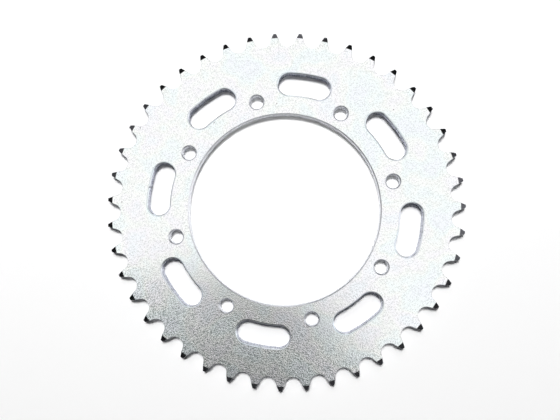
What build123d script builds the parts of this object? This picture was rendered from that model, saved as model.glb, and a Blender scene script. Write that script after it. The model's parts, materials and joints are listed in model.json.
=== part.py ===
"""Rear sprocket for a motorcycle: one flat steel plate with a toothed rim.

All sizes are millimetres and all angles are degrees. The origin is on the hub axis, in
the middle of the tooth width, which is the chain line. +Z points away from the wheel,
out of the front face, and +X runs through the middle of one tooth.
"""

from build123d import *
from math import cos, degrees, pi, radians, sin
import os

os.makedirs("parts", exist_ok=True)

# Chain that runs on the sprocket
chain_pitch = 15.875
roller_diameter = 10.16

# Plate and toothed rim
tooth_count = 43
plate_thickness = 5.9
tip_rise = 3.96  # from the pitch circle to the tooth tips
flank_radius = 80.0
tip_corner_radius = 0.4

# Bevels turned on both faces of the rim, which guide the chain onto the teeth
bevel_width = 3.7
bevel_depth = 1.9

# Hub seat
bore_diameter = 120.0
bore_chamfer = 0.7

# Bolt holes
bolt_count = 8
bolt_hole_diameter = 8.5
bolt_hole_chamfer = 0.75
bolt_circle_land = 10.0  # from the wall of the bore to the bolt circle
bolt_turn = 13.3  # from the middle of a tooth to the first bolt hole

# Lightening slots, one between each two bolt holes
slot_width = 14.0
slot_length = 33.5
slot_edge_break = 0.4
slot_land = 9.2  # from the bolt circle to the middle of the slots
slot_lag = 1.2  # each slot stops this far short of midway between its bolt holes

# How far the cutters pass the surface that they cut
overcut = 0.5

# Circles that everything is placed from
pitch_radius = chain_pitch / (2 * sin(pi / tooth_count))
tip_radius = pitch_radius + tip_rise
bore_radius = bore_diameter / 2
bolt_circle_radius = bore_radius + bolt_circle_land
slot_circle_radius = bolt_circle_radius + slot_land

# The roller seat is the largest, and its angle the widest, that chain standards allow
seat_radius = 0.505 * roller_diameter + 0.069 * roller_diameter ** (1 / 3)
seat_half_angle = (140 - 90 / tooth_count) / 2

# The gap between two teeth, centred on +X: a roller seat that opens along two flanks
seat_along = cos(radians(seat_half_angle))
seat_across = sin(radians(seat_half_angle))
flank_start = Vector(pitch_radius - seat_radius * seat_along, seat_radius * seat_across)
flank_direction = Vector(seat_across, seat_along)
flank_length = (tip_radius + overcut - flank_start.X) / flank_direction.X
flank_arc = degrees(flank_length / flank_radius)

with BuildSketch() as tooth_gap:
    with BuildLine():
        CenterArc((pitch_radius, 0), seat_radius, 180 - seat_half_angle, 2 * seat_half_angle)
        upper_flank = JernArc(flank_start, flank_direction, flank_radius, flank_arc)
        mirror(upper_flank, about=Plane.XZ)
        flank_end = upper_flank @ 1
        Line(flank_end, (flank_end.X, -flank_end.Y))
    make_face()

# The rim's outline: a disc with a gap between each two teeth, and the tips' corners eased
with BuildSketch() as toothed_disc:
    Circle(tip_radius)
    with PolarLocations(0, tooth_count, start_angle=180 / tooth_count):
        add(tooth_gap.sketch, mode=Mode.SUBTRACT)
    fillet(toothed_disc.vertices().group_by(SortBy.DISTANCE)[-1], radius=tip_corner_radius)

# One slot's centre line, which follows the circle it lies on
slot_arc = degrees((slot_length - slot_width) / slot_circle_radius)
slot_centre_line = CenterArc((0, 0), slot_circle_radius, -slot_arc / 2, slot_arc)

with BuildPart() as sprocket:
    with BuildSketch(Plane.XY.offset(-plate_thickness / 2)):
        add(toothed_disc.sketch)
    extrude(amount=plate_thickness)

    # The bore with its chamfers and the two bevels of the rim, turned from one profile
    half_thickness = plate_thickness / 2
    bevel_slope = bevel_depth / bevel_width
    with BuildSketch(Plane.XZ):
        with BuildLine():
            front_half = Polyline(
                (bore_radius, 0),
                (bore_radius, half_thickness - bore_chamfer),
                (bore_radius + bore_chamfer, half_thickness),
                (tip_radius - bevel_width, half_thickness),
                (tip_radius + overcut, half_thickness - bevel_depth - bevel_slope * overcut),
                (tip_radius + overcut, 0),
            )
            mirror(front_half, about=Plane.XZ)
        make_face()
    revolve(axis=Axis.Z, mode=Mode.INTERSECT)

    # Bolt holes, countersunk a little on both faces
    with PolarLocations(bolt_circle_radius, bolt_count, start_angle=bolt_turn):
        Hole(bolt_hole_diameter / 2)
    chamfer(sprocket.edges(Select.LAST).filter_by(GeomType.CIRCLE), length=bolt_hole_chamfer)

    # Lightening slots, with their edges broken on both faces
    midway = bolt_turn + 180 / bolt_count
    with BuildSketch(Plane.XY.offset(-half_thickness)):
        with PolarLocations(0, bolt_count, start_angle=midway - slot_lag):
            SlotArc(slot_centre_line, slot_width)
    extrude(amount=plate_thickness, mode=Mode.SUBTRACT)
    slot_edges = sprocket.edges(Select.LAST).group_by(Axis.Z)
    chamfer(slot_edges[0] + slot_edges[-1], length=slot_edge_break)

sprocket.part.label = "sprocket"
export_step(sprocket.part, "parts/sprocket.step")
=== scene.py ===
"""Visual model of a flat steel rear sprocket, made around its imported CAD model.

Everything is in metres and in the CAD model's frame: the origin is on the hub axis in the
middle of the tooth width, +Z leaves the front face, and +X runs through a tooth.
"""

import json
import logging
import math
from collections.abc import Callable, Iterator
from contextlib import contextmanager
from dataclasses import dataclass, field
from enum import Enum
from typing import Any, Protocol

import bmesh
import bpy
from mathutils import Matrix, Quaternion, Vector


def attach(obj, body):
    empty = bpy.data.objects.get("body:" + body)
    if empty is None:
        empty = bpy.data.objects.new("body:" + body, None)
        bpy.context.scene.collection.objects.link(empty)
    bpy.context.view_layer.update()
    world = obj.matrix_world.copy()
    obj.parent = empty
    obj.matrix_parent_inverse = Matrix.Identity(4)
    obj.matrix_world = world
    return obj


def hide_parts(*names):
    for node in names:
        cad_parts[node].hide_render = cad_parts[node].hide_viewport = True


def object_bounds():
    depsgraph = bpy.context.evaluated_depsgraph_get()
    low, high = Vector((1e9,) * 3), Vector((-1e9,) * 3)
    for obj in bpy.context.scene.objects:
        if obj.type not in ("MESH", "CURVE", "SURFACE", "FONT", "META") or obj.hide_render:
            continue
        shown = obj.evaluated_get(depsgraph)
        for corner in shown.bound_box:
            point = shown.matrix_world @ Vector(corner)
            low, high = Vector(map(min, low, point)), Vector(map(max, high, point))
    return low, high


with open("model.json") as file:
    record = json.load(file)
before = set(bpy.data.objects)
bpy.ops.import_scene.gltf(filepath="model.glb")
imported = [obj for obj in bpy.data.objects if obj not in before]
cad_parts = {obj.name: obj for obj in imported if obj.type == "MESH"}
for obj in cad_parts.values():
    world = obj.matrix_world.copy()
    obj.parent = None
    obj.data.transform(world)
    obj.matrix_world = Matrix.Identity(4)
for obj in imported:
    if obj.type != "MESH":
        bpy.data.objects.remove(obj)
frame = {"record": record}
cad_low, cad_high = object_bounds()

MM = 0.001
HAIR = 0.001 * MM
FULL_TURN = 2 * math.pi
HUB_AXIS = (0.0, 0.0, 1.0)
HUB_CENTRE = (0.0, 0.0, 0.0)

Colour = tuple[float, float, float]
Point = tuple[float, float, float]
Span = tuple[float, float]

log = logging.getLogger("sprocket")


# ---------------------------------------------------------------- hand modelling


class Pick(Enum):
    """What a selection picks on a mesh."""

    VERTICES = "VERT"
    EDGES = "EDGE"
    FACES = "FACE"


def put_down() -> None:
    """Leaves edit mode and deselects every object."""
    if bpy.context.object is not None and bpy.context.object.mode != "OBJECT":
        bpy.ops.object.mode_set(mode="OBJECT")
    bpy.ops.object.select_all(action="DESELECT")


def take_up(piece: bpy.types.Object) -> None:
    """Makes one object the only selected one, and the active one.

    Args:
        piece: The object to take up.
    """
    put_down()
    piece.select_set(True)
    bpy.context.view_layer.objects.active = piece


@contextmanager
def shaping(piece: bpy.types.Object) -> Iterator[None]:
    """Holds one piece in edit mode, with all of it selected, while the block shapes it.

    Args:
        piece: The mesh object to shape.
    """
    take_up(piece)
    bpy.ops.object.mode_set(mode="EDIT")
    bpy.ops.mesh.select_all(action="SELECT")
    yield
    bpy.ops.object.mode_set(mode="OBJECT")


def pick(piece: bpy.types.Object, what: Pick, wanted: Callable[[Any], bool]) -> None:
    """Selects the elements of a piece that pass a test, and nothing else, in edit mode.

    Args:
        piece: The mesh object in edit mode.
        what: The kind of element to pick.
        wanted: Says whether one bmesh element is picked.
    """
    bpy.ops.mesh.select_mode(type=what.value)
    bpy.ops.mesh.select_all(action="DESELECT")
    mesh = bmesh.from_edit_mesh(piece.data)
    elements = {Pick.VERTICES: mesh.verts, Pick.EDGES: mesh.edges, Pick.FACES: mesh.faces}[what]
    for element in elements:
        if wanted(element):
            element.select_set(True)
    mesh.select_flush_mode()
    bmesh.update_edit_mesh(piece.data)


def raise_by(height: float) -> None:
    """Extrudes the selected region straight up.

    Args:
        height: How far it goes.
    """
    bpy.ops.mesh.extrude_region_move(TRANSFORM_OT_translate={"value": (0, 0, height)})


def widen(factor: float, centre: Vector) -> None:
    """Scales the selection in the plane of the plate.

    Args:
        factor: The scale along X and Y.
        centre: The point that stays where it is.
    """
    bpy.ops.transform.resize(value=(factor, factor, 1.0), center_override=tuple(centre))


def sweep(angle: float, facets: int, centre: Vector) -> None:
    """Spins the selection about an upright axis, and leaves its far end selected.

    Args:
        angle: How far it turns, counter-clockwise seen from above.
        facets: How many steps it takes.
        centre: Where the axis stands.
    """
    # The operator turns clockwise about an axis that points up.
    bpy.ops.mesh.spin(steps=facets, angle=-angle, center=tuple(centre), axis=HUB_AXIS)


def copy_round(count: int) -> None:
    """Repeats all of the mesh in edit mode round the hub axis.

    Args:
        count: How many there are in the end, evenly spaced.
    """
    bpy.ops.mesh.select_all(action="SELECT")
    rest = FULL_TURN * (count - 1) / count
    bpy.ops.mesh.spin(steps=count - 1, dupli=True, angle=rest, center=HUB_CENTRE, axis=HUB_AXIS)


def close_up() -> None:
    """Merges the doubles of all of the mesh in edit mode and turns its normals outwards."""
    bpy.ops.mesh.select_all(action="SELECT")
    bpy.ops.mesh.remove_doubles(threshold=HAIR)
    bpy.ops.mesh.normals_make_consistent(inside=False)


def settle(name: str) -> bpy.types.Object:
    """Names the new active object and moves its place into its mesh.

    Args:
        name: The object's name.

    Returns:
        The object, at the origin, unturned and unscaled.
    """
    piece = bpy.context.object
    piece.name = piece.data.name = name
    bpy.ops.object.transform_apply(location=True, rotation=True, scale=True)
    return piece


def join(pieces: list[bpy.types.Object]) -> bpy.types.Object:
    """Joins meshes into the first of them.

    Args:
        pieces: The mesh objects.

    Returns:
        The joined object.
    """
    take_up(pieces[0])
    for piece in pieces:
        piece.select_set(True)
    bpy.ops.object.join()
    return pieces[0]


def finish_with(piece: bpy.types.Object, kind: str, **settings: Any) -> None:
    """Adds a modifier to a piece and applies it.

    Args:
        piece: The piece to change.
        kind: The modifier's type.
        **settings: The modifier's own settings.
    """
    take_up(piece)
    modifier = piece.modifiers.new(kind.title(), kind)
    for setting, value in settings.items():
        setattr(modifier, setting, value)
    bpy.ops.object.modifier_apply(modifier=modifier.name)


def on_circle(radius: float, angle: float, height: float = 0.0) -> Vector:
    """Gives a point round the hub axis.

    Args:
        radius: Its distance from the axis.
        angle: Its angle from +X.
        height: Its height over the plate's middle.

    Returns:
        The point.
    """
    return Vector((radius * math.cos(angle), radius * math.sin(angle), height))


# ---------------------------------------------------------------- shader maths


class Number:
    """A number that varies over a surface; arithmetic on it adds Math nodes."""

    def __init__(self, recipe: "Recipe", socket: bpy.types.NodeSocket) -> None:
        """Wraps a socket.

        Args:
            recipe: The recipe that the socket belongs to.
            socket: The output socket that carries the number.
        """
        self.recipe = recipe
        self.socket = socket

    def math(self, operation: str, *terms: Any) -> "Number":
        """Puts a Math node on some terms.

        Args:
            operation: What the node does.
            *terms: Numbers and plain values, in the node's order.

        Returns:
            The result.
        """
        node = self.recipe.node("ShaderNodeMath", {"operation": operation}, dict(enumerate(terms)))
        return Number(self.recipe, node.outputs[0])

    def __add__(self, other: Any) -> "Number":
        """Adds."""
        return self.math("ADD", self, other)

    def __sub__(self, other: Any) -> "Number":
        """Subtracts."""
        return self.math("SUBTRACT", self, other)

    def __rsub__(self, other: Any) -> "Number":
        """Subtracts from a plain value."""
        return self.math("SUBTRACT", other, self)

    def __mul__(self, other: Any) -> "Number":
        """Multiplies."""
        return self.math("MULTIPLY", self, other)

    __radd__ = __add__
    __rmul__ = __mul__

    def step(self, start: float, end: float) -> "Number":
        """Goes smoothly from 0 at one value to 1 at another.

        Args:
            start: The value that gives 0.
            end: The value that gives 1, above or below the start.

        Returns:
            The smoothed number.
        """
        node = self.recipe.node(
            "ShaderNodeMapRange",
            {"interpolation_type": "SMOOTHSTEP"},
            {"Value": self, "From Min": start, "From Max": end, "To Min": 0.0, "To Max": 1.0},
        )
        return Number(self.recipe, node.outputs[0])

    def between(self, low: float, high: float) -> "Number":
        """Turns a number from 0 to 1 into one between two values."""
        return self * (high - low) + low


class Recipe:
    """The node tree of one material or world, with the few ways of adding to it."""

    def __init__(self, owner: bpy.types.Material | bpy.types.World) -> None:
        """Empties the owner's node tree and takes it over.

        Args:
            owner: The material or world to write the recipe for.
        """
        owner.use_nodes = True
        self.tree = owner.node_tree
        self.tree.nodes.clear()

    def node(self, kind: str, settings: dict[str, Any], inputs: dict[Any, Any]) -> bpy.types.Node:
        """Adds any node.

        Args:
            kind: The node's type.
            settings: The node's own settings, which are set first.
            inputs: Values, numbers or sockets, by the name or place of the input.

        Returns:
            The new node.
        """
        node = self.tree.nodes.new(kind)
        for setting, value in settings.items():
            setattr(node, setting, value)
        for place, value in inputs.items():
            value = value.socket if isinstance(value, Number) else value
            if isinstance(value, bpy.types.NodeSocket):
                self.tree.links.new(value, node.inputs[place])
            else:
                node.inputs[place].default_value = value
        return node

    def place(self) -> bpy.types.NodeSocket:
        """Gives the point on the piece, in metres."""
        return self.node("ShaderNodeTexCoord", {}, {}).outputs["Object"]

    def part(self, vector: bpy.types.NodeSocket, axis: str) -> Number:
        """Gives one component of a vector.

        Args:
            vector: The vector's socket.
            axis: X, Y or Z.

        Returns:
            The component.
        """
        node = self.node("ShaderNodeSeparateXYZ", {}, {0: vector})
        return Number(self, node.outputs[axis])

    def stretched(self, scale: Point) -> bpy.types.NodeSocket:
        """Gives the point on the piece with its axes scaled.

        Args:
            scale: How much each axis is scaled.

        Returns:
            The socket of the point.
        """
        node = self.node("ShaderNodeMapping", {}, {"Vector": self.place(), "Scale": scale})
        return node.outputs["Vector"]

    def noise(
        self, size: float, detail: float = 2.0, at: bpy.types.NodeSocket | None = None
    ) -> Number:
        """Gives cloudy noise from 0 to 1.

        Args:
            size: The width of one cloud, in metres.
            detail: How many finer layers it has.
            at: Where it is read, or the point on the piece.

        Returns:
            The noise.
        """
        inputs = {"Vector": at or self.place(), "Scale": 1 / size, "Detail": detail}
        return Number(self, self.node("ShaderNodeTexNoise", {}, inputs).outputs["Fac"])

    def cells(self, size: float) -> Number:
        """Gives the distance to the nearest of many scattered points.

        Args:
            size: The mean distance between the points, in metres.

        Returns:
            The distance, where 1 is that mean distance.
        """
        node = self.node("ShaderNodeTexVoronoi", {}, {"Vector": self.place(), "Scale": 1 / size})
        return Number(self, node.outputs["Distance"])

    def rings(self, spacing: float, wander: float) -> Number:
        """Gives fine circles round the hub axis.

        Args:
            spacing: The distance from one circle to the next, in metres.
            wander: How uneven the circles are.

        Returns:
            The pattern from 0 to 1.
        """
        radians_per_unit = 20
        node = self.node(
            "ShaderNodeTexWave",
            {"wave_type": "RINGS", "rings_direction": "Z"},
            {
                "Vector": self.place(),
                "Scale": FULL_TURN / (radians_per_unit * spacing),
                "Distortion": wander,
            },
        )
        return Number(self, node.outputs["Fac"])

    def mix(self, share: Any, first: Any, second: Any, way: str = "MIX") -> bpy.types.NodeSocket:
        """Mixes two colours.

        Args:
            share: How much of the second colour there is.
            first: The first colour, or its socket.
            second: The second colour, or its socket.
            way: The blend type.

        Returns:
            The socket of the mixed colour.
        """
        pair = [c if isinstance(c, bpy.types.NodeSocket) else (*c, 1.0) for c in (first, second)]
        node = self.node(
            "ShaderNodeMix",
            {"data_type": "RGBA", "blend_type": way},
            {0: share, 6: pair[0], 7: pair[1]},
        )
        return node.outputs[2]

    def ramp(self, value: Number, stops: list[tuple[float, Colour]]) -> bpy.types.NodeSocket:
        """Turns a number into a colour by a ramp.

        Args:
            value: The number to look up.
            stops: Places on the ramp with their colours, in order.

        Returns:
            The socket of the colour.
        """
        node = self.node("ShaderNodeValToRGB", {}, {"Fac": value})
        elements = node.color_ramp.elements
        while len(elements) < len(stops):
            elements.new(0.5)
        for element, (position, colour) in zip(elements, stops):
            element.position = position
            element.color = (*colour, 1.0)
        return node.outputs["Color"]

    def bump(self, height: Number, depth: float) -> bpy.types.NodeSocket:
        """Turns a height from 0 to 1 into a normal.

        Args:
            height: The height.
            depth: How deep the relief is from 0 to 1, in metres.

        Returns:
            The socket of the normal.
        """
        node = self.node("ShaderNodeBump", {}, {"Distance": depth, "Height": height})
        node.inputs["Strength"].default_value = 1.0
        return node.outputs["Normal"]

    def surface(self, **sockets: Any) -> None:
        """Ends the recipe with one surface.

        Args:
            **sockets: Values or links of the surface's inputs, with _ for each blank.
        """
        inputs = {name.replace("_", " "): value for name, value in sockets.items()}
        shader = self.node("ShaderNodeBsdfPrincipled", {}, inputs)
        self.node("ShaderNodeOutputMaterial", {}, {"Surface": shader.outputs[0]})


# ---------------------------------------------------------------- finishes


class Zone(Enum):
    """The differently finished zones of the plate, in the order of their material slots."""

    FACE = 0
    BEVEL = 1
    SLOT_WALL = 2
    MILLED_WALL = 3
    ROLLED_EDGE = 4
    ARRIS = 5


class Finish(Protocol):
    """Any finish that a zone of the plate can have."""

    def make(self, name: str) -> bpy.types.Material:
        """Writes the material."""
        ...


@dataclass(frozen=True)
class PlatedFace:
    """Bright zinc on the flat faces: a fine frosted grain with faint colour blooms.

    Attributes:
        tint: The colour of clean zinc.
        shade: The colour in the hollows of the grain.
        grain: The width of one grain.
        fine_share: How much of the grain's height a finer grain makes.
        relief: The depth of the grain.
        painted_shade_side: The direction of the lower side of the plate, a little to the left,
            towards which the grain's colour is painted darker as painted shade.
        painted_shade_band: How far towards that side the painted shade and the stronger grain
            start and are complete.
        grain_and_painted_shade: How much of the shade shows in the grain's hollows on the upper
            and on the lower side; the extra on the lower side is painted shade.
        relief_share: How much of the relief there is on the upper and on the low side.
        bloom: The width of a colour bloom.
        bloom_strength: How much of the blooms' colour shows.
        pit_spacing: The mean distance between tiny pits.
        pit_tint: The colour in the pits.
        roughness: How dull the smoothest zinc is.
        patch_roughness: How much duller its dullest patches are.
        hollow_roughness: How much duller the hollows of the grain are.
    """

    tint: Colour = (0.93, 0.95, 0.96)
    shade: Colour = (0.20, 0.26, 0.25)
    grain: float = 0.8 * MM
    fine_share: float = 0.3
    relief: float = 0.25 * MM
    painted_shade_side: Span = (-0.35, -0.94)
    painted_shade_band: Span = (55 * MM, 90 * MM)
    grain_and_painted_shade: Span = (0.22, 0.65)
    relief_share: Span = (0.25, 1.0)
    bloom: float = 20 * MM
    bloom_strength: float = 0.28
    pit_spacing: float = 12 * MM
    pit_tint: Colour = (0.10, 0.11, 0.12)
    roughness: float = 0.11
    patch_roughness: float = 0.08
    hollow_roughness: float = 0.06

    def make(self, name: str) -> bpy.types.Material:
        """Writes the material.

        Args:
            name: The material's name.

        Returns:
            The material.
        """
        material = bpy.data.materials.new(name)
        recipe = Recipe(material)
        coarse = recipe.noise(self.grain, detail=3.0)
        fine = recipe.noise(self.grain / 3)
        grain = coarse * (1 - self.fine_share) + fine * self.fine_share
        hollows = coarse.step(0.55, 0.35)
        pits = recipe.cells(self.pit_spacing).step(0.04, 0.02)
        blooms = recipe.ramp(
            recipe.noise(self.bloom),
            [
                (0.32, (0.86, 0.90, 1.00)),
                (0.42, (0.84, 0.98, 0.94)),
                (0.50, (1.00, 0.99, 0.88)),
                (0.58, (1.00, 0.90, 0.95)),
                (0.68, (0.88, 0.92, 1.00)),
            ],
        )
        here = recipe.place()
        across, upward = recipe.part(here, "X"), recipe.part(here, "Y")
        # Painted shade: towards the lower side more of the dark shade colour shows in the grain's
        # hollows, so the face is painted darker there.
        down = across * self.painted_shade_side[0] + upward * self.painted_shade_side[1]
        low = down.step(*self.painted_shade_band)
        zinc = recipe.mix(hollows * low.between(*self.grain_and_painted_shade), self.tint, self.shade)
        zinc = recipe.mix(self.bloom_strength, zinc, blooms, "MULTIPLY")
        patches = recipe.noise(self.bloom / 3) * self.patch_roughness
        height = grain * low.between(*self.relief_share) - pits * 0.3
        recipe.surface(
            Base_Color=recipe.mix(pits * 0.8, zinc, self.pit_tint),
            Metallic=1.0,
            Roughness=patches + hollows * self.hollow_roughness + self.roughness,
            Normal=recipe.bump(height, self.relief),
        )
        return material


@dataclass(frozen=True)
class TurnedBevelPaintedDark:
    """Zinc over the turned bevels of the rim, with the fine grooves of the lathe tool.

    Attributes:
        tint: The colour of the metal, painted near black as painted shade for the dark reflections
            of the bevels.
        shade: The colour of its dull patches, also painted near black.
        groove: The spacing of the grooves.
        wander: How uneven the grooves are.
        speckle: The width of a dull patch.
        relief: The depth of the grooves.
        roughness: How dull the smoothest metal is.
        patch_roughness: How much duller its dullest patches are.
    """

    # Painted shade: the bevels are the same zinc as the faces, but both colours are painted near
    # black so that the bevels look dark from every side.
    tint: Colour = (0.10, 0.10, 0.11)
    shade: Colour = (0.07, 0.07, 0.08)
    groove: float = 0.25 * MM
    wander: float = 1.5
    speckle: float = 0.6 * MM
    relief: float = 0.006 * MM
    roughness: float = 0.12
    patch_roughness: float = 0.08

    def make(self, name: str) -> bpy.types.Material:
        """Writes the material.

        Args:
            name: The material's name.

        Returns:
            The material.
        """
        material = bpy.data.materials.new(name)
        recipe = Recipe(material)
        grooves = recipe.rings(self.groove, self.wander)
        speckle = recipe.noise(self.speckle, detail=3.0)
        recipe.surface(
            Base_Color=recipe.mix(speckle.step(0.6, 0.4), self.tint, self.shade),
            Metallic=1.0,
            Roughness=speckle * self.patch_roughness + self.roughness,
            Normal=recipe.bump(grooves * 0.6 + speckle * 0.4, self.relief),
        )
        return material


@dataclass(frozen=True)
class CutWall:
    """Zinc over a cut edge of the plate, with streaks from one face to the other.

    Attributes:
        tint: The colour of the ridges.
        shade: The colour between the ridges.
        streak: The spacing of the streaks.
        relief: The depth of the streaks.
        roughness: How dull the smoothest wall is.
        thinness: How wide a streak is for its length.
        grain: The width of one grain of the zinc.
        grain_roughness: How much duller the dullest grains are.
    """

    tint: Colour
    shade: Colour
    streak: float
    relief: float
    roughness: float
    thinness: float = 0.12
    grain: float = 0.35 * MM
    grain_roughness: float = 0.15

    def make(self, name: str) -> bpy.types.Material:
        """Writes the material.

        Args:
            name: The material's name.

        Returns:
            The material.
        """
        material = bpy.data.materials.new(name)
        recipe = Recipe(material)
        upright = recipe.stretched((1.0, 1.0, self.thinness))
        streaks = recipe.noise(self.streak, detail=3.0, at=upright)
        grain = recipe.noise(self.grain)
        recipe.surface(
            Base_Color=recipe.mix(streaks.step(0.38, 0.6), self.shade, self.tint),
            Metallic=1.0,
            Roughness=grain * self.grain_roughness + self.roughness,
            Normal=recipe.bump(streaks * 0.75 + grain * 0.25, self.relief),
        )
        return material


def plate_finishes() -> dict[Zone, Finish]:
    """Chooses the finish of each zone of the plate.

    Returns:
        The finishes by zone.
    """
    return {
        Zone.FACE: PlatedFace(),
        Zone.BEVEL: TurnedBevelPaintedDark(),
        Zone.SLOT_WALL: CutWall(
            tint=(0.56, 0.58, 0.66),
            shade=(0.22, 0.24, 0.31),
            streak=0.55 * MM,
            relief=0.03 * MM,
            roughness=0.24,
        ),
        Zone.MILLED_WALL: CutWall(
            tint=(0.84, 0.85, 0.88),
            shade=(0.66, 0.68, 0.72),
            streak=0.4 * MM,
            relief=0.01 * MM,
            roughness=0.34,
        ),
        Zone.ROLLED_EDGE: PlatedFace(
            tint=(0.70, 0.74, 0.78), shade=(0.50, 0.54, 0.58), grain=0.6 * MM, relief=0.06 * MM
        ),
        Zone.ARRIS: CutWall(
            tint=(0.34, 0.35, 0.38),
            shade=(0.20, 0.21, 0.23),
            streak=0.8 * MM,
            relief=0.01 * MM,
            roughness=0.30,
        ),
    }


# ---------------------------------------------------------------- the sprocket


def mount(name: str) -> dict[str, float]:
    """Gives the dimensions of one of the CAD model's mounts.

    Args:
        name: The mount's name.

    Returns:
        Its dimensions by name.
    """
    return next(m["dims"] for m in frame["record"]["mounts"] if m["name"] == name)


def turn_between(first: Vector, second: Vector) -> float:
    """Gives the angle from one direction to another, counter-clockwise seen from above.

    Args:
        first: The direction to start from.
        second: The direction to end at.

    Returns:
        The angle, from minus to plus half a turn.
    """
    return -first.xy.angle_signed(second.xy)


@dataclass
class ToothGap:
    """The gap between two teeth: a roller seat that opens along two flanks.

    Attributes:
        pitch_radius: The circle that the rollers' centres run on.
        seat_radius: The radius of the roller seat.
        seat_half_angle: Half the angle that the seat goes round.
        flank_radius: The radius of the flanks.
        corner_radius: The radius of the corners of the tooth tips.
        seat_facets: How many flats a whole circle of the seat's size has.
        flank_facets: How many flats a flank has.
        corner_facets: How many flats a corner has.
    """

    pitch_radius: float
    seat_radius: float = 5.28 * MM
    seat_half_angle: float = math.radians(68.95)
    flank_radius: float = 80 * MM
    corner_radius: float = 0.4 * MM
    seat_facets: int = 96
    flank_facets: int = 10
    corner_facets: int = 5

    def cutter(self, count: int, tip_radius: float, reach: float, past: float) -> bpy.types.Object:
        """Models the cutter of all the gaps.

        Args:
            count: How many teeth there are.
            tip_radius: The circle that the tooth tips lie on.
            reach: How far the cutter goes to each side of the plate's middle.
            past: How far it goes past the tips.

        Returns:
            The cutter.
        """
        put_down()
        along, across = math.cos(self.seat_half_angle), math.sin(self.seat_half_angle)
        mouth = self.pitch_radius - self.seat_radius * along
        bpy.ops.mesh.primitive_circle_add(
            vertices=self.seat_facets,
            radius=self.seat_radius,
            location=(self.pitch_radius, 0, -reach),
        )
        cutter = settle("gap_cutter")
        with shaping(cutter):
            bpy.ops.mesh.bisect(
                plane_co=(mouth, 0, 0), plane_no=(1, 0, 0), clear_outer=True, threshold=HAIR
            )
            for side in (1, -1):
                start = Vector((mouth, self.seat_radius * across * side, -reach))
                flank = start + Vector((-along, across * side, 0)) * self.flank_radius
                corner = self.corner_centre(flank, tip_radius, side)
                pick(cutter, Pick.VERTICES, lambda v: (v.co - start).length < 10 * HAIR)
                sweep(turn_between(start - flank, corner - flank), self.flank_facets, flank)
                sweep(turn_between(corner - flank, corner), self.corner_facets, corner)
                bpy.ops.mesh.extrude_vertices_move(TRANSFORM_OT_translate={"value": (past, 0, 0)})
            pick(cutter, Pick.VERTICES, lambda v: len(v.link_edges) == 1)
            bpy.ops.mesh.edge_face_add()
            bpy.ops.mesh.select_all(action="SELECT")
            bpy.ops.mesh.edge_face_add()
            raise_by(2 * reach)
            bpy.ops.mesh.select_all(action="SELECT")
            bpy.ops.transform.rotate(
                value=math.pi / count, orient_axis="Z", center_override=HUB_CENTRE
            )
            copy_round(count)
            close_up()
        return cutter

    def corner_centre(self, flank: Vector, tip_radius: float, side: int) -> Vector:
        """Finds the middle of the arc that eases a tip's corner.

        Args:
            flank: The middle of the flank's arc.
            tip_radius: The circle that the tooth tips lie on.
            side: Which flank it is, 1 or -1.

        Returns:
            The point that lies the corner's radius inside both arcs.
        """
        out = tip_radius - self.corner_radius
        down = self.flank_radius - self.corner_radius
        apart = flank.xy.length
        along = (out**2 - down**2 + apart**2) / (2 * apart)
        across = math.sqrt(out**2 - along**2)
        way = flank.xy.normalized()
        found = way * along + Vector((way.y, -way.x)) * across * side
        return Vector((found.x, found.y, flank.z))


@dataclass
class RoundHole:
    """A round hole with both mouths countersunk.

    Attributes:
        radius: The radius of the wall.
        countersink: The width and depth of the countersink.
        facets: How many flats the wall has.
    """

    radius: float
    countersink: float
    facets: int

    def cutter(self, centre: Vector, half: float, past: float) -> bpy.types.Object:
        """Models the cutter of one hole, waisted like an hourglass.

        Args:
            centre: The middle of the hole.
            half: Half the plate's thickness.
            past: How far the cutter passes each face.

        Returns:
            The cutter.
        """
        put_down()
        mouth = self.radius + self.countersink + past
        bpy.ops.mesh.primitive_circle_add(
            vertices=self.facets,
            radius=mouth,
            fill_type="NGON",
            location=(centre.x, centre.y, -half - past),
        )
        cutter = settle("hole_cutter")
        with shaping(cutter):
            raise_by(past + self.countersink)
            widen(self.radius / mouth, centre)
            raise_by(2 * (half - self.countersink))
            raise_by(past + self.countersink)
            widen(mouth / self.radius, centre)
            close_up()
        return cutter


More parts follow.
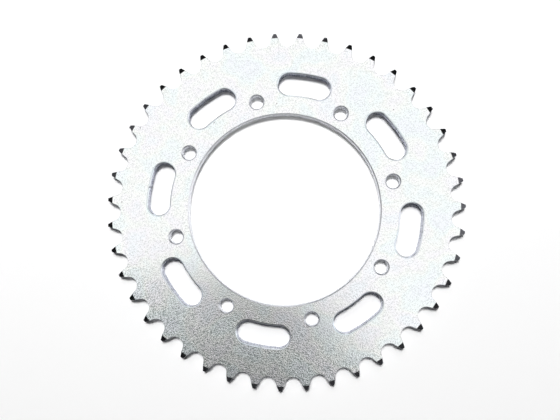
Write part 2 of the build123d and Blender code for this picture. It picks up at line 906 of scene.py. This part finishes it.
@dataclass
class CurvedSlot:
    """A round-ended slot along a circle, flame cut, with its edges broken afterwards.

    Attributes:
        circle: The radius of the circle that its middle line follows.
        width: Its width between the walls.
        length: Its length from end to end.
        roll_width: How far the rolled edges reach out over the face.
        roll_depth: How far they reach down the walls.
        ripple: How far the flame wandered to each side.
        nick: How deep the nick is where the flame started.
        end_facets: How many flats each round end has.
        side_facets: How many flats each long wall has.
    """

    circle: float
    width: float = 14 * MM
    length: float = 33.5 * MM
    roll_width: float = 1.0 * MM
    roll_depth: float = 0.4 * MM
    ripple: float = 0.05 * MM
    nick: float = 0.35 * MM
    end_facets: int = 48
    side_facets: int = 44

    def cutter(self, middle: float, half: float, seed: int) -> bpy.types.Object:
        """Models the cutter of one slot.

        Args:
            middle: The angle of the slot's middle from +X.
            half: Half the plate's thickness.
            seed: Which ripple the walls get.

        Returns:
            The cutter.
        """
        put_down()
        rolls = self.roll()
        mouth = self.width / 2 + rolls[0][0]
        level = -half - rolls[0][1]
        bend = (self.length - self.width) / self.circle
        first = on_circle(self.circle, middle - bend / 2, level)
        last = on_circle(self.circle, middle + bend / 2, level)
        bpy.ops.mesh.primitive_circle_add(
            vertices=2 * self.end_facets, radius=mouth, location=first
        )
        cutter = settle("slot_cutter")
        onward = on_circle(1, middle - bend / 2 + math.pi / 2)
        outer = on_circle(self.circle + mouth, middle - bend / 2, level)
        with shaping(cutter):
            bpy.ops.mesh.bisect(plane_co=first, plane_no=onward, clear_outer=True, threshold=HAIR)
            pick(cutter, Pick.VERTICES, lambda v: (v.co - outer).length < 10 * HAIR)
            sweep(bend, self.side_facets, Vector(HUB_CENTRE))
            sweep(math.pi, self.end_facets, last)
            sweep(-bend, self.side_facets, Vector(HUB_CENTRE))
            bpy.ops.mesh.select_all(action="SELECT")
            bpy.ops.mesh.remove_doubles(threshold=10 * HAIR)
            bpy.ops.mesh.edge_face_add()
            for (reach, height), (next_reach, next_height) in zip(rolls, rolls[1:]):
                bpy.ops.mesh.inset(thickness=reach - next_reach, depth=0)
                bpy.ops.transform.translate(value=(0, 0, height - next_height))
            level = -half - rolls[-1][1]
            bpy.ops.transform.vertex_random(offset=self.ripple, uniform=0.0, normal=0.0, seed=seed)
            # The ripple runs along the wall, so the outline is pressed flat again.
            bpy.ops.transform.resize(value=(1, 1, 0), center_override=(0, 0, level))
            start = on_circle(self.circle + self.width / 2, middle, level)
            pick(cutter, Pick.VERTICES, lambda v: (v.co - start).length < self.nick)
            bpy.ops.transform.translate(value=on_circle(self.nick, middle))
            pick(cutter, Pick.FACES, lambda f: f.calc_center_median().z > level - HAIR)
            raise_by(-level)
            bpy.ops.mesh.delete(type="ONLY_FACE")
            bpy.ops.mesh.select_all(action="SELECT")
            bpy.ops.mesh.duplicate()
            bpy.ops.transform.mirror(
                constraint_axis=(False, False, True), center_override=HUB_CENTRE
            )
            close_up()
            bpy.ops.mesh.fill_holes(sides=0)
            close_up()
        return cutter

    def roll(self) -> list[tuple[float, float]]:
        """Works out the section of a rolled edge, a quarter of an ellipse.

        Returns:
            The distance from the wall and the height over the face of each step of the
            section, from a hair above the face down to the wall.
        """
        steps = 4
        turns = [math.pi / 2 * step / steps for step in (1, 2, steps)]
        section = [
            (self.roll_width * (1 - math.sin(turn)), -self.roll_depth * (1 - math.cos(turn)))
            for turn in turns
        ]
        slope = -section[0][1] / (self.roll_width - section[0][0])
        above = 10 * HAIR
        return [(self.roll_width + above / slope, above), *section]


@dataclass
class Sprocket:
    """The whole sprocket: a turned blank with its teeth, hub, bolt holes and slots cut out.

    Attributes:
        tooth_count: How many teeth it has.
        chain_pitch: The pitch of its chain.
        bevel_width: How far the turned bevels reach in from the tooth tips.
        bevel_depth: How deep they are at the tips.
        bore_chamfer: The width of the chamfers of the hub bore.
        hole_countersink: The width of the countersinks of the bolt holes.
        first_hole: The angle from +X to the first bolt hole.
        first_slot: The angle from +X to the middle of the first slot.
        slot_land: How far the slots' circle lies outside the bolt circle.
        rim_facets_per_tooth: How many flats the blank's rim has for each tooth.
        bore_facets: How many flats the hub bore has.
        hole_facets: How many flats a bolt hole has.
        edge_wear: The width of the rounding of every sharp edge.
        sharp_angle: The turn from which an edge is sharp enough to be rounded.
        smooth_angle: The turn up to which an edge is shaded smooth.
        past: How far the cutters pass each face.
        sectors: How many lines the flat faces are divided by.
        finishes: The finish of each zone.
    """

    tooth_count: int = 43
    chain_pitch: float = 15.875 * MM
    bevel_width: float = 3.7 * MM
    bevel_depth: float = 1.9 * MM
    bore_chamfer: float = 0.7 * MM
    hole_countersink: float = 0.75 * MM
    first_hole: float = math.radians(13.3)
    first_slot: float = math.radians(34.6)
    slot_land: float = 9.2 * MM
    rim_facets_per_tooth: int = 8
    bore_facets: int = 288
    hole_facets: int = 64
    edge_wear: float = 0.20 * MM
    sharp_angle: float = math.radians(50)
    smooth_angle: float = math.radians(32)
    past: float = 0.5 * MM
    sectors: int = 12
    finishes: dict[Zone, Finish] = field(default_factory=plate_finishes)

    def build(self) -> bpy.types.Object:
        """Models and dresses the sprocket.

        Returns:
            The finished piece.
        """
        # A tooth points along +X, so the CAD model's box ends at a tip. A hair less keeps the
        # piece inside that box.
        half = (cad_high.z - cad_low.z) / 2 - HAIR
        tip_radius = cad_high.x - 10 * HAIR
        materials = [self.finishes[zone].make(f"zinc_{zone.name.lower()}") for zone in Zone]
        plate = self.blank(tip_radius, half)
        cutters = self.cutters(tip_radius, half)
        for piece in (plate, *cutters):
            self.coat(piece, materials)
        cutter = join(cutters)
        finish_with(plate, "BOOLEAN", operation="DIFFERENCE", solver="MANIFOLD", object=cutter)
        bpy.data.objects.remove(cutter)
        with shaping(plate):
            bpy.ops.mesh.remove_doubles(threshold=2 * HAIR)
            self.divide()
            self.mark_crease(plate, tip_radius - self.bevel_width)
        finish_with(
            plate,
            "BEVEL",
            width=self.edge_wear,
            segments=2,
            limit_method="ANGLE",
            angle_limit=self.sharp_angle,
            use_clamp_overlap=False,
            loop_slide=False,
            material=Zone.ARRIS.value,
        )
        take_up(plate)
        bpy.ops.object.shade_smooth_by_angle(angle=self.smooth_angle, keep_sharp_edges=True)
        finish_with(plate, "WEIGHTED_NORMAL", keep_sharp=True)
        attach(plate, "root")
        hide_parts("sprocket")
        return plate

    def divide(self) -> None:
        """Divides the flat faces of the plate in edit mode by straight lines through the hub."""
        # Turned a little, so that no line runs along the very middle of a tooth or of a gap.
        off_axis = 0.017
        for sector in range(self.sectors):
            across = on_circle(1, off_axis + math.pi * sector / self.sectors)
            bpy.ops.mesh.select_all(action="SELECT")
            bpy.ops.mesh.bisect(plane_co=HUB_CENTRE, plane_no=across, threshold=HAIR)

    def mark_crease(self, plate: bpy.types.Object, radius: float) -> None:
        """Marks the circle where the bevels meet the faces as sharp, in edit mode.

        Args:
            plate: The plate.
            radius: The circle's radius.
        """
        near = 0.1 * MM
        pick(
            plate,
            Pick.EDGES,
            lambda e: all(abs(v.co.xy.length - radius) < near for v in e.verts),
        )
        bpy.ops.mesh.mark_sharp()

    def coat(self, piece: bpy.types.Object, materials: list[bpy.types.Material]) -> None:
        """Gives every face of the blank or of a cutter the finish of the surface it makes.

        Args:
            piece: The blank or the cutter.
            materials: The finishes, in the order of the zones.
        """
        for material in materials:
            piece.data.materials.append(material)
        sloped = {"sprocket_plate": Zone.BEVEL, "slot_cutter": Zone.ROLLED_EDGE}
        upright = {"slot_cutter": Zone.SLOT_WALL}
        kind = piece.name.split(".")[0]
        steep, flat = 0.2, 0.9999
        with shaping(piece):
            for zone, wanted in (
                (Zone.FACE, lambda f: abs(f.normal.z) > flat),
                (sloped.get(kind, Zone.MILLED_WALL), lambda f: steep < abs(f.normal.z) < flat),
                (upright.get(kind, Zone.MILLED_WALL), lambda f: abs(f.normal.z) < steep),
            ):
                pick(piece, Pick.FACES, wanted)
                piece.active_material_index = zone.value
                bpy.ops.object.material_slot_assign()

    def blank(self, tip_radius: float, half: float) -> bpy.types.Object:
        """Models the turned blank, a disc with a bevel round both faces.

        Args:
            tip_radius: The radius of its rim.
            half: Half its thickness.

        Returns:
            The blank.
        """
        put_down()
        bpy.ops.mesh.primitive_cylinder_add(
            vertices=self.tooth_count * self.rim_facets_per_tooth,
            radius=tip_radius,
            depth=2 * (half - self.bevel_depth),
            end_fill_type="NGON",
            rotation=(0, 0, math.pi / 2),
        )
        plate = settle("sprocket_plate")
        with shaping(plate):
            for side in (1, -1):
                pick(plate, Pick.FACES, lambda f: f.normal.z * side > 0.5)
                raise_by(self.bevel_depth * side)
                widen(1 - self.bevel_width / tip_radius, Vector(HUB_CENTRE))
            close_up()
        return plate

    def cutters(self, tip_radius: float, half: float) -> list[bpy.types.Object]:
        """Models every cutter.

        Args:
            tip_radius: The circle that the tooth tips lie on.
            half: Half the plate's thickness.

        Returns:
            The cutters.
        """
        pitch_radius = self.chain_pitch / (2 * math.sin(math.pi / self.tooth_count))
        holes = mount("bolt_circle")
        bolt_circle = holes["pcd_mm"] * MM / 2
        bore = RoundHole(mount("hub_bore")["r_mm"] * MM, self.bore_chamfer, self.bore_facets)
        hole = RoundHole(holes["hole_r_mm"] * MM, self.hole_countersink, self.hole_facets)
        slot = CurvedSlot(bolt_circle + self.slot_land)
        gaps = ToothGap(pitch_radius).cutter(
            self.tooth_count, tip_radius, half + self.past, 2 * self.past
        )
        made = [gaps, bore.cutter(Vector(HUB_CENTRE), half, self.past)]
        for place in range(holes["count"]):
            round_hub = FULL_TURN * place / holes["count"]
            centre = on_circle(bolt_circle, self.first_hole + round_hub)
            made.append(hole.cutter(centre, half, self.past))
            made.append(slot.cutter(self.first_slot + round_hub, half, place + 1))
        return made


# ---------------------------------------------------------------- the studio


def stand(
    thing: bpy.types.Light | bpy.types.Camera, place: Point, turn: Matrix | Quaternion
) -> bpy.types.Object:
    """Stands a lamp or a camera in the scene.

    Args:
        thing: The lamp or camera.
        place: Where it stands.
        turn: How it is turned.

    Returns:
        Its object.
    """
    holder = bpy.data.objects.new(thing.name, thing)
    bpy.context.scene.collection.objects.link(holder)
    holder.matrix_world = Matrix.LocRotScale(Vector(place), turn, None)
    return holder


@dataclass(frozen=True)
class PaleFloor:
    """A plain white matt floor.

    Attributes:
        tint: Its colour.
        half_size: How far it goes to each side.
        roughness: How matt it is.
    """

    tint: Colour = (0.93, 0.93, 0.93)
    half_size: float = 4.0
    roughness: float = 0.9

    def lay(self, height: float) -> bpy.types.Object:
        """Lays the floor.

        Args:
            height: The height of its surface.

        Returns:
            The floor.
        """
        put_down()
        bpy.ops.mesh.primitive_plane_add(size=2 * self.half_size, location=(0, 0, height))
        floor = settle("floor")
        material = bpy.data.materials.new("pale_floor")
        Recipe(material).surface(
            Base_Color=(*self.tint, 1.0), Roughness=self.roughness, Specular_IOR_Level=0.0
        )
        floor.data.materials.append(material)
        return floor


@dataclass(frozen=True)
class SoftBox:
    """A large soft lamp.

    Attributes:
        name: The lamp's name.
        place: Where its middle is.
        aim: The point that it faces.
        size: Its width and height.
        brightness: How bright its surface looks.
        mirrored: Whether the metal mirrors it, or else it lights the floor.
    """

    name: str
    place: Point
    aim: Point
    size: Span
    brightness: float
    mirrored: bool = False

    def hang(self) -> bpy.types.Object:
        """Hangs the lamp.

        Returns:
            The lamp.
        """
        data = bpy.data.lights.new(self.name, "AREA")
        data.shape = "RECTANGLE"
        data.size, data.size_y = self.size
        # A flat lamp looks as bright as its power over its area and pi.
        data.energy = self.brightness * math.pi * self.size[0] * self.size[1]
        throw = Vector(self.aim) - Vector(self.place)
        lamp = stand(data, self.place, throw.to_track_quat("-Z", "Y"))
        lamp.visible_glossy = self.mirrored
        lamp.visible_diffuse = not self.mirrored
        return lamp


@dataclass(frozen=True)
class SpotLamp:
    """A narrow lamp that lights the floor in a round patch, and that the metal doesn't mirror.

    Attributes:
        name: The lamp's name.
        place: Where it is.
        aim: The middle of the patch.
        reach: The radius of the patch.
        brightness: How bright a white floor looks in the patch.
        fade: How much of the patch its soft rim takes.
        bulb_radius: The radius of the lamp itself.
    """

    name: str
    place: Point
    aim: Point
    reach: float
    brightness: float
    fade: float = 0.3
    bulb_radius: float = 0.06

    def hang(self) -> bpy.types.Object:
        """Hangs the lamp.

        Returns:
            The lamp.
        """
        throw = Vector(self.aim) - Vector(self.place)
        data = bpy.data.lights.new(self.name, "SPOT")
        data.spot_size = 2 * math.atan(self.reach / throw.length)
        data.spot_blend = self.fade
        data.shadow_soft_size = self.bulb_radius
        data.energy = self.brightness * 4 * math.pi**2 * throw.length_squared
        lamp = stand(data, self.place, throw.to_track_quat("-Z", "Y"))
        lamp.visible_glossy = False
        return lamp


@dataclass(frozen=True)
class DarkCard:
    """A round card under the lamps that fades out at its rim; only the metal mirrors it.

    Attributes:
        centre: Where its middle is.
        core: How far from its middle it hides the lamps completely.
        radius: How far from its middle it has faded to nothing.
        brightness: How bright it looks.
        facets: How many sides it has.
    """

    centre: Point
    core: float
    radius: float
    brightness: float
    facets: int = 64

    def hang(self) -> bpy.types.Object:
        """Hangs the card.

        Returns:
            The card.
        """
        put_down()
        bpy.ops.mesh.primitive_circle_add(
            vertices=self.facets, radius=self.radius, fill_type="NGON", location=self.centre
        )
        card = settle("dark_card")
        material = bpy.data.materials.new("dark_card")
        recipe = Recipe(material)
        out = recipe.node(
            "ShaderNodeVectorMath", {"operation": "DISTANCE"}, {0: recipe.place(), 1: self.centre}
        )
        cover = Number(recipe, out.outputs["Value"]).step(self.radius, self.core)
        recipe.surface(
            Base_Color=(0.0, 0.0, 0.0, 1.0),
            Roughness=1.0,
            Specular_IOR_Level=0.0,
            Emission_Color=(self.brightness, self.brightness, self.brightness, 1.0),
            Emission_Strength=1.0,
            Alpha=cover,
        )
        card.data.materials.append(material)
        card.visible_camera = card.visible_diffuse = card.visible_shadow = False
        return card


@dataclass(frozen=True)
class Glow:
    """A brighter stretch of the room's walls.

    Attributes:
        direction: The angle from +X that it lies at, in degrees.
        width: How wide it is, as the cosine that it starts at.
        brightness: How much brighter it is.
    """

    direction: float
    width: float
    brightness: float


@dataclass(frozen=True)
class Room:
    """The dim room round the lamps, with its ceiling brighter than its walls.

    Attributes:
        wall: How bright the walls are near the floor.
        ceiling: How bright the ceiling is straight above.
        glows: The brighter stretches of its walls.
        wall_top: The height of a direction, as the sine of its angle, at which the walls
            start to turn into the ceiling and at which they have done so.
        glow_top: The height at which a glow has ended and at which it starts to fade.
    """

    wall: float
    ceiling: float
    glows: tuple[Glow, ...]
    wall_top: Span = (0.45, 0.80)
    glow_top: Span = (0.75, 0.45)

    def light(self) -> None:
        """Makes the room the world of the scene."""
        world = bpy.data.worlds.new("room")
        recipe = Recipe(world)
        way = recipe.node("ShaderNodeTexCoord", {}, {}).outputs["Generated"]
        up = recipe.part(way, "Z")
        brightness = up.step(*self.wall_top).between(self.wall, self.ceiling)
        flat = recipe.node(
            "ShaderNodeVectorMath", {"operation": "MULTIPLY"}, {0: way, 1: (1, 1, 0)}
        )
        level = recipe.node(
            "ShaderNodeVectorMath", {"operation": "NORMALIZE"}, {0: flat.outputs[0]}
        )
        for glow in self.glows:
            aim = on_circle(1, math.radians(glow.direction))
            toward = recipe.node(
                "ShaderNodeVectorMath", {"operation": "DOT_PRODUCT"}, {0: level.outputs[0], 1: aim}
            )
            share = Number(recipe, toward.outputs["Value"]).step(glow.width, 1.0)
            brightness = brightness + share * up.step(*self.glow_top) * glow.brightness
        background = recipe.node("ShaderNodeBackground", {}, {"Strength": brightness})
        recipe.node("ShaderNodeOutputWorld", {}, {"Surface": background.outputs[0]})
        # Only the metal mirrors the room. The floor is lit by the lamps alone.
        world.cycles_visibility.diffuse = False
        bpy.context.scene.world = world


@dataclass(frozen=True)
class Viewpoint:
    """The camera, high above the plate.

    Attributes:
        place: Where it stands.
        aim: The point in the middle of its view.
        up: The direction that is up in its view.
        lens: Its focal length, in millimetres.
        film: The width of its film, in millimetres.
        nearest: The distance from which it sees things.
    """

    place: Point
    aim: Point
    up: Point
    lens: float
    film: float = 36.0
    nearest: float = 0.01

    def set_up(self) -> bpy.types.Object:
        """Sets the camera up and makes it the scene's.

        Returns:
            The camera.
        """
        data = bpy.data.cameras.new("camera")
        data.lens = self.lens
        data.sensor_width = self.film
        data.sensor_fit = "HORIZONTAL"
        data.clip_start = self.nearest
        back = (Vector(self.place) - Vector(self.aim)).normalized()
        right = Vector(self.up).cross(back).normalized()
        turn = Matrix((right, back.cross(right), back)).transposed()
        camera = stand(data, self.place, turn)
        bpy.context.scene.camera = camera
        return camera


def main() -> None:
    """Builds the sprocket and the studio round it."""
    plate = Sprocket().build()
    log.info("%s: %d faces", plate.name, len(plate.data.polygons))

    floor = PaleFloor().lay(cad_low.z)
    log.info("%s: %d face", floor.name, len(floor.data.polygons))
    card = DarkCard(
        centre=(-0.176, -0.478, 0.9), core=0.18, radius=0.45, brightness=0.03
    ).hang()
    log.info("%s: %d face", card.name, len(card.data.polygons))
    for lamp in (
        SoftBox(
            "key", place=(-0.040, 0.66, 1.5), aim=HUB_CENTRE, size=(0.34, 0.34), brightness=66.0
        ),
        SoftBox(
            "halo", place=(-0.060, 1.05, 1.4), aim=HUB_CENTRE, size=(1.2, 1.2), brightness=2.6
        ),
        SoftBox(
            "fill", place=(0.0, 0.80, 1.6), aim=(0.0, 0.80, 0.0), size=(2.6, 1.6), brightness=0.14
        ),
        SoftBox(
            "tent",
            place=(0.30, 0.375, 1.0),
            aim=(0.30, 0.375, 0.0),
            size=(3.2, 2.0),
            brightness=0.79,
            mirrored=True,
        ),
        SpotLamp(
            "bore_light",
            place=(0.0, -0.30, 1.2),
            aim=(0.0, 0.022, 0.0),
            reach=0.040,
            brightness=0.5,
        ),
    ):
        lamp.hang()
        log.info("%s: hung", lamp.name)
    Room(
        wall=0.10,
        ceiling=0.35,
        glows=(
            Glow(direction=0, width=0.90, brightness=1.7),
            Glow(direction=89, width=0.975, brightness=1.5),
            Glow(direction=154, width=0.94, brightness=0.8),
            Glow(direction=285, width=0.45, brightness=0.30),
        ),
    ).light()
    Viewpoint(
        place=(9.72 * MM, -14.13 * MM, 293.8 * MM),
        aim=(-2.42 * MM, -0.42 * MM, 2.95 * MM),
        up=(0.0179, 0.9988, 0.0458),
        lens=30.0,
    ).set_up()
    bpy.context.scene.view_settings.view_transform = "Standard"
    log.info("room and camera: ready")


if __name__ == "__main__":
    logging.basicConfig(level=logging.INFO, format="%(message)s")
    main()
